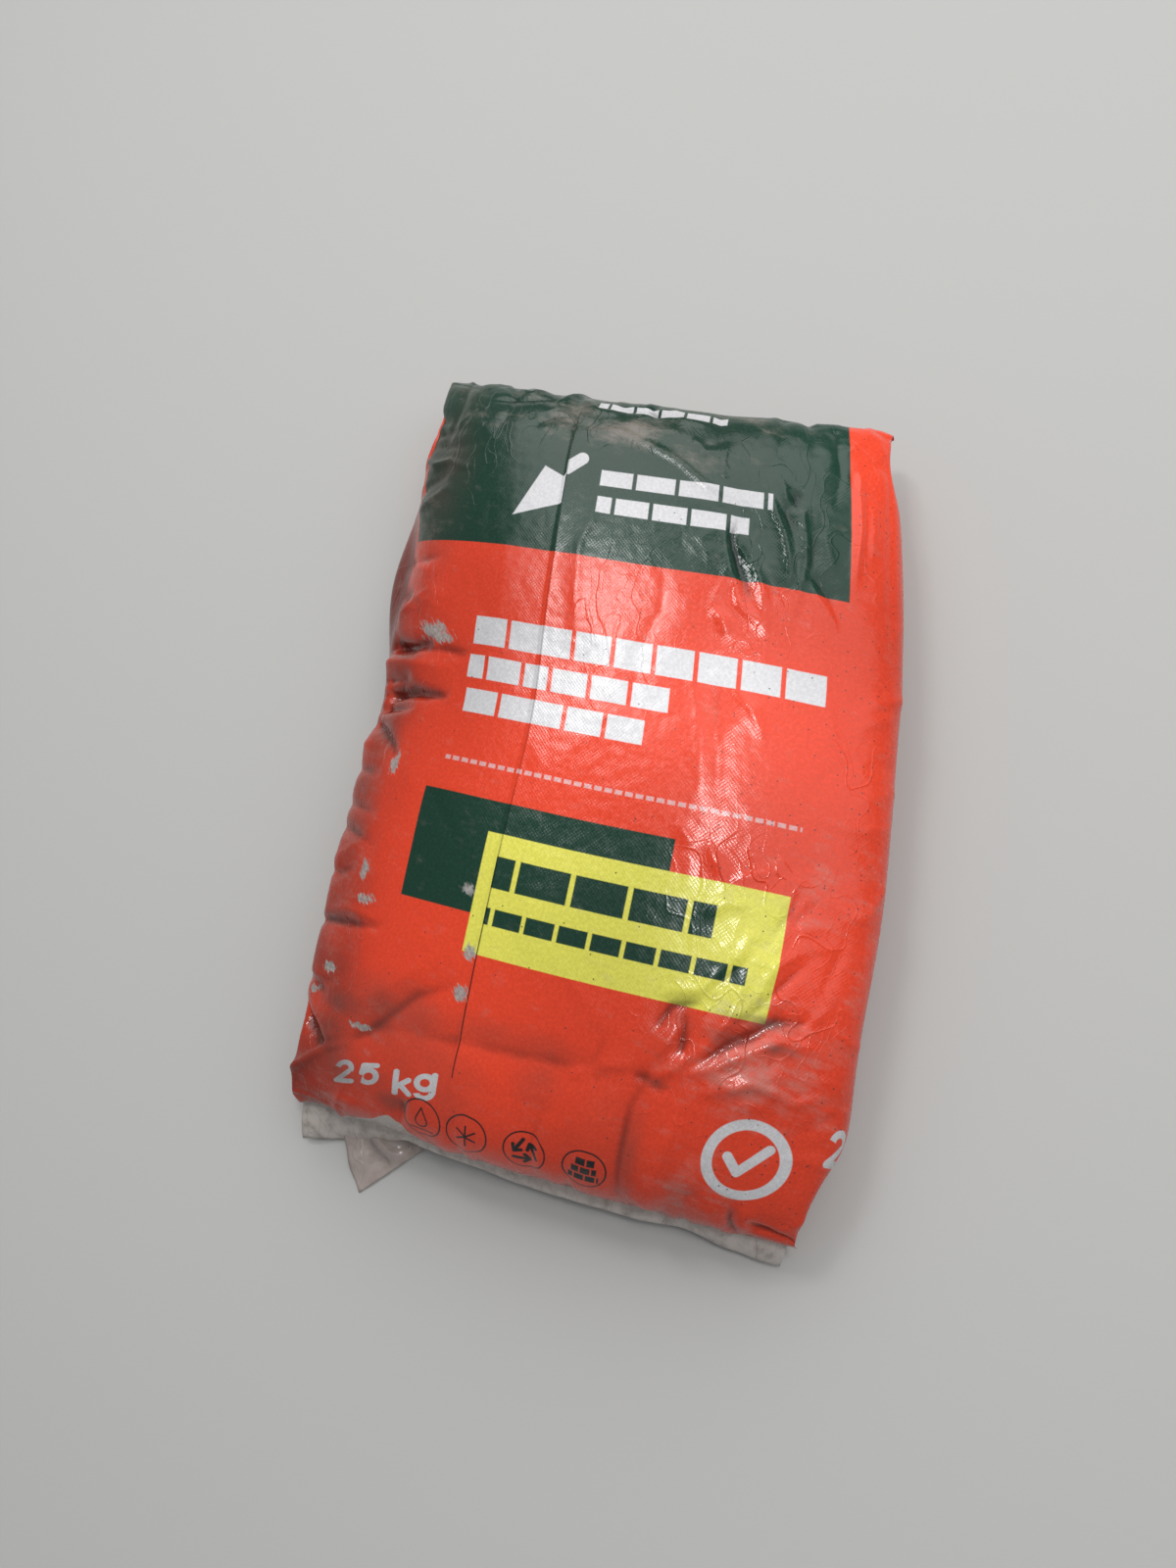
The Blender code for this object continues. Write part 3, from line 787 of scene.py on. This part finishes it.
class Wiring:
    """Places nodes in one tree. An input given as a socket is wired, and anything else is set."""

    def __init__(self, tree):
        self.tree = tree

    def feed(self, socket, value):
        if isinstance(value, bpy.types.NodeSocket):
            self.tree.links.new(value, socket)
        else:
            socket.default_value = value

    def node(self, kind, inputs=None, output=0, **settings):
        node = self.tree.nodes.new(kind)
        for name, value in settings.items():
            setattr(node, name, value)
        for key, value in (inputs or {}).items():
            self.feed(node.inputs[key], value)
        return node.outputs[output]

    def group(self, tree, **inputs):
        """The outputs of a node group."""
        return self.node("ShaderNodeGroup", inputs, node_tree=tree).node.outputs

    def math(self, operation, *values, clamp=False):
        return self.node("ShaderNodeMath", dict(enumerate(values)), operation=operation, use_clamp=clamp)

    plus = partialmethod(math, "ADD")
    minus = partialmethod(math, "SUBTRACT")
    times = partialmethod(math, "MULTIPLY")
    times_plus = partialmethod(math, "MULTIPLY_ADD")
    least = partialmethod(math, "MINIMUM")
    most = partialmethod(math, "MAXIMUM")
    above = partialmethod(math, "GREATER_THAN")
    size = partialmethod(math, "ABSOLUTE")
    root = partialmethod(math, "SQRT")
    wrapped = partialmethod(math, "WRAP")

    def turned(self, vector, angle):
        return self.node("ShaderNodeVectorRotate", {"Vector": vector, "Angle": angle}, rotation_type="Z_AXIS")

    def vector(self, operation, *values):
        return self.node("ShaderNodeVectorMath", dict(enumerate(values)), operation=operation)

    def scaled(self, vector, factor):
        return self.node("ShaderNodeVectorMath", {0: vector, "Scale": factor}, operation="SCALE")

    def mix(self, share, first, second):
        """Colour first where share is 0 and second where it is 1."""
        return self.node("ShaderNodeMix", {0: share, 6: first, 7: second}, 2, data_type="RGBA")

    def noise(self, point, size, detail=2.0, roughness=0.5, stretch=None):
        """Noise from 0 to 1 whose waves are about size long, in the point's own unit."""
        if stretch:
            point = self.vector("MULTIPLY", point, stretch)
        inputs = {"Vector": point, "Scale": 1 / size, "Detail": detail, "Roughness": roughness}
        return self.node("ShaderNodeTexNoise", inputs, noise_dimensions="2D")

    def smooth(self, value, low, high, to_low=0.0, to_high=1.0):
        inputs = {"Value": value, "From Min": low, "From Max": high, "To Min": to_low, "To Max": to_high}
        return self.node("ShaderNodeMapRange", inputs, interpolation_type="SMOOTHSTEP")

    def mark(self, name):
        """The film's mark of that name at the point."""
        return self.node("ShaderNodeAttribute", output=2, attribute_name=name)

    def either(self, *masks):
        joined = masks[0]
        for mask in masks[1:]:
            joined = self.most(joined, mask)
        return joined

    # Drawn shapes: each gives a mask, 1 inside, with an edge 0.7 mm soft. They are worked out in
    # single numbers, because many vectors and clamps at a time overrun the renderer's room.

    def both(self, place):
        """The two coordinates of a place."""
        outputs = self.node("ShaderNodeSeparateXYZ", {0: place}).node.outputs
        return outputs[0], outputs[1]

    def from_middle(self, at, middle):
        return self.minus(at[0], middle[0]), self.minus(at[1], middle[1])

    def ink(self, distance, reach=0.0):
        """1 where the distance is under the reach."""
        return self.times_plus(distance, -EDGE, 0.5 + EDGE * reach, clamp=True)

    def slab(self, value, low, high):
        return self.ink(self.size(self.minus(value, (low + high) / 2)), (high - low) / 2)

    def box(self, at, low, high):
        return self.least(self.slab(at[0], low[0], high[0]), self.slab(at[1], low[1], high[1]))

    def length(self, x, y):
        return self.root(self.times_plus(y, y, self.times(x, x)))

    def away(self, at, middle):
        return self.length(*self.from_middle(at, middle))

    def ring(self, at, middle, radius, width):
        return self.ink(self.size(self.minus(self.away(at, middle), radius)), width)

    def bow(self, at, middle, radius, start, end, width):
        """Part of a ring from one angle to another in degrees, cut off straight."""
        gone = math.radians((start + end) / 2 + 180)
        limit = radius * math.cos(math.radians(180 - (end - start) / 2))
        x, y = self.from_middle(at, middle)
        off = self.minus(self.size(self.minus(self.length(x, y), radius)), width)
        past = self.times_plus(y, math.sin(gone), self.times_plus(x, math.cos(gone), -limit))
        return self.ink(self.most(off, past))

    def strokes(self, at, middle, lines, width, size=1.0):
        """Broken lines drawn with a round pen: the distance to the nearest of their segments."""
        nearest = None
        for (ax, ay), (bx, by) in (ends for line in lines for ends in zip(line[:-1], line[1:])):
            x, y = middle[0] + ax * size, middle[1] + ay * size
            way = ((bx - ax) * size, (by - ay) * size)
            square = way[0] ** 2 + way[1] ** 2
            across, along = way[0] / square, way[1] / square
            share = self.times_plus(at[1], along, -x * across - y * along)
            share = self.times_plus(at[0], across, share)
            share = self.most(self.least(share, 1.0), 0.0)
            dx = self.times_plus(share, -way[0], self.minus(at[0], x))
            dy = self.times_plus(share, -way[1], self.minus(at[1], y))
            distance = self.times_plus(dy, dy, self.times(dx, dx))
            nearest = distance if nearest is None else self.least(nearest, distance)
        return self.ink(self.root(nearest), width)


def group_of(name, inputs, outputs):
    """An empty node group with named sockets, given as (name, kind) pairs."""
    tree = bpy.data.node_groups.new(name, "ShaderNodeTree")
    for way, sockets in (("INPUT", inputs), ("OUTPUT", outputs)):
        for socket, kind in sockets:
            tree.interface.new_socket(socket, in_out=way, socket_type=f"NodeSocket{kind}")
    given = tree.nodes.new("NodeGroupInput")
    wanted = tree.nodes.new("NodeGroupOutput")
    return tree, Wiring(tree), given.outputs, wanted.inputs


# The printing

ORANGE = (0.77, 0.056, 0.019, 1)
GREEN = (0.006, 0.040, 0.023, 1)
YELLOW = (0.76, 0.72, 0.105, 1)
WHITE = (0.66, 0.65, 0.66, 1)
BLACK = (0.012, 0.010, 0.010, 1)
MILKY = (0.57, 0.505, 0.46, 1)
# The ear's film: darker and warmer than the milky film, partly its own tone and partly painted shade
INNER_SHADED = (0.39, 0.325, 0.295, 1)

# Dirt on the print and on the bare tails, the print's dark dirt tone also painting shade along some valleys,
# and the two greys of rubbed places
DUST = (0.33, 0.27, 0.235, 1)
DIRT_AND_SHADE_TONE = (0.08, 0.045, 0.036, 1)
SPECK = (0.035, 0.03, 0.028, 1)
TAIL_DUST = (0.27, 0.22, 0.19, 1)
TAIL_SPECK = (0.05, 0.045, 0.04, 1)
SCUFF_GREYS = ((0.20, 0.19, 0.175, 1), (0.34, 0.33, 0.31, 1))
# Height of the embossed pin dots, and how far the rubbed crease of each web lies from the middle of the
# front panel (millimetres)
PIN_DOTS = 0.026
WEB_FOLD = (212.9, 214.7)

# Strokes of the figures, from their lower left corners, and of the icons, from their middles (millimetres)
TWO = [[(13.9, 12.6), (3.4, 2.4), (17.4, 2.4)]]
FIVE = [[(16.6, 19.8), (5.2, 19.8), (4.2, 12.0)]]
LETTER_K = [[(2.6, 2.4), (2.6, 24.0)], [(3.0, 8.6), (13.2, 16.6)], [(6.6, 11.4), (14.4, 2.4)]]
LETTER_G = [[(16.4, 16.0), (16.4, -1.0)]]
TICK = [[(-11, 1), (-3, -8), (12, 10)]]
DROP = [[(-4.3, 0.4), (0, 9.4), (4.3, 0.4)], [(-9, -9.5), (9, -9.5)]]
LOOP = [
    [(-7.6, -6.2), (2.0, -6.2)], [(9.2, -3.5), (4.4, 4.8)], [(-1.6, 9.7), (-6.4, 1.4)],
    [(0.4, -9.8), (4.4, -6.2), (0.4, -2.6)], [(8.2, 5.2), (3.2, 6.9), (2.0, 1.6)],
    [(-8.7, 4.5), (-7.6, -0.7), (-2.5, 1.0)],
]
# The figures and the unit after them: their lower left corner on the film and in their drawing, how
# steeply their line climbs, and how much taller than drawn they are
FIGURES = ((-162, 65.5), (-154, 64), 0.25, 1.45)
UNIT = ((-109, 72), (-100, 64), 0.2, 1.4)
# Half the width of the pens that draw the figures and the thin lines of the icons (millimetres)
PEN = 2.5
THIN_PEN = 0.6
# Middles of the ticked roundel and of three of the icons, the step from icon to icon and the radius of
# their rings (millimetres). The wall is the fourth.
ROUNDEL = (148, 94)
DROP_PLACE = (-83, 61)
ICE_PLACE = (-39, 61)
LOOP_PLACE = (5, 61)
ICON_STEP = 44
ICON_RING = 15.5

# Courses of bricks: their left, lower, right and upper edge, the brick with its joint, the joint and
# how far the bricks are shifted (millimetres)
WHITE_COURSES = (
    (-27, 520, 104, 533, 33, 3.2, 0), (-27, 498, 88, 511, 29, 3.2, 14),
    (-60, 618, 88, 632, 21, 2.6, 0), (-40, 592, 66, 602, 21, 2.6, 10),
    (-120, 386, 149, 407, 29.9, 3.4, 0.5), (-120, 361, 45, 378, 29.9, 3.4, 15.4),
    (-120, 336, 30, 353, 29.9, 3.4, 0.5),
)
FINE_LINE = ((-122, 300.4, 141, 303.4, 7.3, 2, 0),)
LABEL_COURSES = ((-62, 222, 96, 243, 39.5, 3.6, 0), (-62, 198, 122, 209, 23, 3, 4))
WALL = ((38, 51.5, 60, 57, 8, 1.2, 6), (40, 58.4, 58, 64, 8, 1.2, 2), (42, 65.4, 56, 71, 8, 1.2, 6))


def drawn(w, at, corner, low_left, rise, taller):
    """Coordinates in a drawing whose lower left corner lies at the given corner on the film."""
    low = low_left[1] - taller * (corner[1] - corner[0] * rise)
    climbed = w.times_plus(at[0], -rise, at[1])
    return w.plus(at[0], low_left[0] - corner[0]), w.times_plus(climbed, taller, low)


def twenty_five(w, at):
    """The figures 25."""
    return (
        w.bow(at, (-144.2, 79.8), 6.2, -24, 170, PEN),
        w.strokes(at, (-154, 64), TWO, PEN),
        w.bow(at, (-121.8, 72.4), 6.6, -150, 128, PEN),
        w.strokes(at, (-132, 64), FIVE, PEN),
    )


def kilograms(w, at):
    """The letters kg."""
    return (
        w.strokes(at, (-100, 64), LETTER_K, PEN),
        w.ring(at, (-73.4, 79.7), 6.4, PEN),
        w.strokes(at, (-83, 71.5), LETTER_G, PEN),
        w.bow(at, (-73.2, 71.1), 6.4, -160, 2, PEN),
    )


def frost(w, at, middle):
    """Three lines that cross in one point, as long as a circle round it lets them be."""
    x, y = w.from_middle(at, middle)
    lines = w.size(x)
    for side in (0.5, -0.5):
        lines = w.least(lines, w.size(w.times_plus(y, 0.866, w.times(x, side))))
    return w.least(w.ink(lines, 0.75), w.ink(w.away(at, middle), 8.5))


def courses(w, at, rows):
    """Courses of laid bricks: each is a bar cut by upright joints at even steps."""
    masks = []
    for left, low, right, high, brick, joint, offset in rows:
        step = w.wrapped(w.plus(at[0], offset), brick / 2, -brick / 2)
        gap = w.times_plus(w.size(step), EDGE, 0.5 - EDGE * joint / 2, clamp=True)
        masks.append(w.least(w.box(at, (left, low), (right, high)), gap))
    return w.either(*masks)


def trowel(w, at, middle, size):
    """A bricklayer's trowel: a pointed blade between four straight edges, a shank and a round handle."""
    turn = math.radians(42)
    c, s = math.cos(turn) / size, math.sin(turn) / size
    x, y = w.from_middle(at, middle)
    a = w.times_plus(y, s, w.times(x, c))
    b = w.size(w.times_plus(x, -s, w.times(y, c)))
    side = w.plus(w.times_plus(a, -0.391, -0.391 * 34), w.times(b, 0.920))
    heel = w.plus(w.times_plus(a, 0.905, -0.905 * 13), w.times(b, 0.426))
    shank = w.strokes(at, middle, [[(8, 7.2), (15, 13.5)]], 2.0 * size, size)
    handle = w.strokes(at, middle, [[(17, 15.3), (27, 24.3)]], 4.6 * size, size)
    return w.either(w.ink(w.most(side, heel)), shank, handle)


def print_group(name, inks):
    """A group that gives the ink's colour at the film's flat coordinates."""
    tree, w, given, wanted = group_of(name, [("Film", "Vector")], [("Ink", "Color")])
    tree.links.new(inks(w, w.both(given["Film"])), wanted["Ink"])
    return tree


def front_inks(w, at):
    """Green header with its emblem and brick courses, three courses, a fine line and two labels."""
    ink = w.mix(w.box(at, (-204, 463), (160, 700)), ORANGE, GREEN)
    white = w.either(
        trowel(w, at, (-74, 513), 1.12),
        courses(w, at, WHITE_COURSES),
        w.times(courses(w, at, FINE_LINE), 0.55),
    )
    ink = w.mix(white, ink, WHITE)
    ink = w.mix(w.box(at, (-131, 203), (62, 279)), ink, GREEN)
    ink = w.mix(w.box(at, (-74, 178), (140, 258)), ink, YELLOW)
    return w.mix(courses(w, at, LABEL_COURSES), ink, GREEN)


def foot_inks(w, at):
    """The mass on the front and again on the right web, a ticked roundel and four ringed icons."""
    on_web = w.above(at[0], 182.0)
    x, y = drawn(w, at, *FIGURES)
    apart = w.minus(w.minus(at[1], 36.5), y)
    white = w.either(
        *twenty_five(w, (w.times_plus(on_web, -352.0, x), w.times_plus(on_web, apart, y))),
        *kilograms(w, drawn(w, at, *UNIT)),
        w.ring(at, ROUNDEL, 23.0, 3.4),
        w.strokes(at, ROUNDEL, TICK, 3.0),
    )
    step = w.wrapped(w.minus(at[0], LOOP_PLACE[0]), ICON_STEP / 2, -ICON_STEP / 2)
    rings = w.ring((step, at[1]), (0, LOOP_PLACE[1]), ICON_RING, THIN_PEN)
    black = w.either(
        w.least(rings, w.slab(at[0], -102.0, 68.0)),
        w.bow(at, (-83, 59.2), 4.7, -204, 24, THIN_PEN),
        w.strokes(at, DROP_PLACE, DROP, THIN_PEN),
        frost(w, at, ICE_PLACE),
        w.strokes(at, LOOP_PLACE, LOOP, 1.4),
        courses(w, at, WALL),
    )
    return w.mix(black, w.mix(white, ORANGE, WHITE), BLACK)


def back_inks(w, at):
    """A white box with lines of grey, as on the back of any sack of powder."""
    paper = w.mix(w.box(at, (336, 120), (536, 470)), ORANGE, WHITE)
    line = w.above(w.size(w.wrapped(at[1], 6.0, -6.0)), 4.4)
    lines = w.times(line, w.box(at, (352, 140), (520, 380)))
    return w.mix(w.times(lines, 0.8), paper, BLACK)


# Wear on the film


def wear():
    """Masks of the film's wear from its marks, broken up by noise: scuffs, dust and fine specks."""
    inputs = [("Film", "Vector"), ("Dusty", "Float"), ("Torn", "Float"), ("Cloud", "Float")]
    outputs = [("Scuff", "Float"), ("Dust", "Float"), ("Speck", "Float")]
    tree, w, given, wanted = group_of("film_wear", inputs, outputs)
    film = given["Film"]
    flakes = w.noise(w.turned(film, 0.9), 9.0, 4.0, 0.72, (0.8, 3.4, 1))
    w.feed(wanted["Scuff"], w.smooth(w.times_plus(flakes, 2.3, given["Torn"]), 2.06, 1.72))

    streaks = w.noise(w.turned(film, 0.17), 24.0, 3.0, 0.65, (1, 3.6, 1))
    smears = w.times_plus(given["Cloud"], 0.9, streaks)
    dust = w.times_plus(given["Dusty"], 1.15, w.minus(smears, 0.95))
    w.feed(wanted["Dust"], w.smooth(dust, 0.18, 1.25))

    cells = {"Vector": film, "Scale": 1 / 5.5}
    spot = w.node("ShaderNodeTexVoronoi", cells, feature="F1", voronoi_dimensions="2D")
    chance = w.both(spot.node.outputs["Color"])[0]
    share = w.times(w.smooth(w.both(film)[0], 60.0, 210.0, 0.05, 0.36), given["Cloud"])
    w.feed(wanted["Speck"], w.times(w.smooth(spot, 0.13, 0.06), w.math("LESS_THAN", chance, share)))
    return tree


# The warp of the crinkles' noise: the size of its waves and how far it reaches (millimetres)
WARP_SIZE = 1 / 0.045
WARP_REACH = 18.0


def crinkle():
    """Height of the film's small crinkles in millimetres: thin ridges where a warped noise passes its
    middle value, as high as the film is slack, on soft lumps and a grid of pin dots."""
    inputs = [("Place", "Vector"), ("Slack", "Float"), ("Dots", "Float")]
    tree, w, given, wanted = group_of("film_crinkle", inputs, [("Height", "Float")])
    p = given["Place"]
    warp = w.noise(p, WARP_SIZE, 0.0).node.outputs["Color"]
    moved = w.vector("ADD", w.vector("MULTIPLY", p, (1.0, 0.36, 1.0)), w.scaled(warp, WARP_REACH))
    ridges = 0.0
    for size, width, depth in ((26.0, 0.035, 0.50), (11.0, 0.055, 0.22)):
        off = w.size(w.minus(w.noise(moved, size, 0.0), 0.5))
        line = w.most(w.times_plus(off, -1 / width, 1.0), 0.0)
        ridges = w.times_plus(w.times(line, line), depth, ridges)
    height = w.times_plus(w.noise(p, 11.0, 1.0), 0.42, w.times(ridges, given["Slack"]))
    dots = w.times(*(w.math("SINE", w.times(part, 2.3)) for part in w.both(p)))
    w.feed(wanted["Height"], w.times_plus(dots, given["Dots"], height))
    return tree


def new_material(name):
    material = bpy.data.materials.new(name)
    material.use_nodes = True
    tree = material.node_tree
    return material, Wiring(tree), tree.nodes["Principled BSDF"].inputs


def crinkled(w, crinkle_group, place, slack, dots):
    """The normal of crinkled film."""
    height = w.group(crinkle_group, Place=place, Slack=slack, Dots=dots)["Height"]
    return w.node("ShaderNodeBump", {"Height": height, "Distance": 0.001, "Strength": 0.8})


def film_material(name, inks, wear_group, crinkle_group):
    """Printed film: the inks, mottled, darker in the creases, towards the foot and along the lap as painted
    shade, and dusty, under a gloss that dust dulls.
    """
    material, w, shader = new_material(name)
    place = w.node("ShaderNodeUVMap", uv_map="film")
    across, along = w.both(place)
    cloud = w.noise(place, 15.0, 3.0, 0.65)
    mottle = w.noise(place, 2.4, 3.0, 0.7)
    worn = w.group(wear_group, Film=place, Dusty=w.mark("dust"), Torn=w.mark("torn"), Cloud=cloud)

    bright = w.smooth(mottle, 0.30, 0.72, 0.89, 1.04)
    # Painted shade in the creases: darker the deeper the film lies in one
    bright = w.times(bright, w.times_plus(w.mark("crease"), -0.66, 1.0))
    # Grime with painted shade: darker towards the foot and on the left web strip
    bright = w.times(bright, w.times_plus(w.mark("grime_and_shade"), -0.36, 1.10))
    # Painted shadow along the lap's step, partly dirt in its fold, stronger low on the sack
    lap = w.box((across, along), (LAP_U - 1.4, LAP_ENDS[0]), (LAP_U + 2.1, LAP_ENDS[1]))
    bright = w.times(bright, w.minus(1.0, w.times(lap, w.smooth(along, 160.0, 300.0, 0.85, 0.35))))
    fold = w.slab(w.size(across), *WEB_FOLD)
    rubbed = w.times(fold, w.smooth(cloud, 0.42, 0.66, 0.0, 0.5))
    bare = w.most(w.smooth(w.mark("margin"), 0.5, -0.5), rubbed)
    ink = w.group(print_group(f"{name}_print", inks), Film=place)["Ink"]
    colour = w.scaled(w.mix(bare, ink, MILKY), bright)
    scuffed = w.mix(w.smooth(mottle, 0.3, 0.7), *SCUFF_GREYS)
    for mask, strength, over in (
        (worn["Dust"], 0.52, DUST),
        # Dirt, and painted shade along some valleys
        (w.mark("dirt_and_shade"), 0.80, DIRT_AND_SHADE_TONE),
        (worn["Speck"], 0.85, SPECK),
        (worn["Scuff"], 0.92, scuffed),
    ):
        colour = w.mix(w.times(mask, strength), colour, over)
    w.feed(shader["Base Color"], colour)

    rough = w.times_plus(mottle, 0.34, 0.06)
    rough = w.times_plus(w.mark("slack"), -0.09, rough)
    rough = w.times_plus(worn["Dust"], 0.18, rough)
    w.feed(shader["Roughness"], w.times_plus(worn["Scuff"], 0.45, rough))
    shader["Specular IOR Level"].default_value = 0.42
    w.feed(shader["Normal"], crinkled(w, crinkle_group, place, w.mark("slack"), PIN_DOTS))
    return material


def tail_material(name, clean, crinkle_group):
    """Unprinted film of the given colour, with clouds of dust and dark specks."""
    material, w, shader = new_material(name)
    place = w.node("ShaderNodeUVMap", uv_map="film")
    colour = w.mix(w.smooth(w.noise(place, 9.0, 4.0, 0.6), 0.35, 0.95), clean, TAIL_DUST)
    speck = w.smooth(w.noise(place, 4.0, 3.0, 0.8), 0.73, 0.78)
    w.feed(shader["Base Color"], w.mix(w.times(speck, 0.7), colour, TAIL_SPECK))
    shader["Roughness"].default_value = 0.22
    w.feed(shader["Normal"], crinkled(w, crinkle_group, place, 1.0, 0.0))
    return material


# Camera, floor and light

# Half the side of the floor (metres), and its colour
FLOOR = 6.0
FLOOR_GREY = (0.46, 0.455, 0.44, 1)


def make_camera():
    """The photograph's camera: its axes follow from where plumb lines and the sack's sides meet."""
    down = Vector((*STRAIGHT_DOWN, FOCAL_PIXELS)).normalized()
    along = Vector((*SACK_SIDES_MEET, FOCAL_PIXELS))
    along = (along - down * along.dot(down)).normalized()
    turn = Matrix((along.cross(-down), along, -down))
    data = bpy.data.cameras.new("camera")
    data.sensor_width = 36.0
    data.lens = data.sensor_width * FOCAL_PIXELS / PHOTO_HEIGHT
    camera = placed("camera", data)
    camera.matrix_world = Matrix((turn.col[0], -turn.col[1], -turn.col[2])).transposed().to_4x4()
    camera.location = CAMERA_PLACE
    bpy.context.scene.camera = camera


def make_floor():
    mesh = bpy.data.meshes.new("floor")
    corners = [(-FLOOR, -FLOOR, 0), (FLOOR, -FLOOR, 0), (FLOOR, FLOOR, 0), (-FLOOR, FLOOR, 0)]
    mesh.from_pydata(corners, [], [(0, 1, 2, 3)])
    floor = placed("floor", mesh)
    material, _, shader = new_material("pale_floor")
    shader["Base Color"].default_value = FLOOR_GREY
    shader["Roughness"].default_value = 0.85
    shader["Specular IOR Level"].default_value = 0.2
    mesh.materials.append(material)


def make_light(name, place, target, size, watts):
    data = bpy.data.lights.new(name, "AREA")
    data.shape = "RECTANGLE"
    data.size, data.size_y = size
    data.energy = watts
    lamp = placed(name, data)
    lamp.location = place
    lamp.rotation_euler = (Vector(target) - Vector(place)).to_track_quat("-Z", "Y").to_euler()


def make_studio():
    make_camera()
    make_floor()
    make_light("left_window", (-0.76, 0.90, 2.0), (0, 0.05, 0), (0.16, 0.45), 6.5)
    make_light("right_window", (-0.48, 0.92, 2.0), (0, 0.05, 0), (0.14, 0.45), 5)
    make_light("sky", (-0.3, 3.1, 2.6), (0, 0, 0), (5.0, 2.6), 84)
    make_light("ceiling", (0.64, 0.40, 2.5), (0.1, 0, 0), (0.5, 0.26), 14)
    make_light("doorway", (1.35, 0.65, 2.1), (0.1, 0, 0), (2.2, 3.0), 24)
    world = bpy.data.worlds.new("studio")
    world.use_nodes = True
    background = world.node_tree.nodes["Background"].inputs
    background["Color"].default_value = (0.92, 0.96, 1.0, 1)
    background["Strength"].default_value = 0.29
    bpy.context.scene.world = world
    bpy.context.scene.view_settings.view_transform = "Standard"


def main():
    make_studio()
    crinkle_group = crinkle()
    wear_group = wear()
    films = [("printed_front", front_inks), ("printed_foot", foot_inks), ("printed_back", back_inks)]
    sack = make_sack([film_material(name, inks, wear_group, crinkle_group) for name, inks in films])
    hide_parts("sack")
    milky = tail_material("milky_film", MILKY, crinkle_group)
    inner = tail_material("inner_film_shaded", INNER_SHADED, crinkle_group)
    thin_shell("foot_tail", tail_grid(-1, FOOT_TAIL), TAIL_FILM, milky)
    make_header_tail(sack.data.materials[0])
    thin_shell("foot_ear", flap_grid(), EAR_FILM, inner)


main()
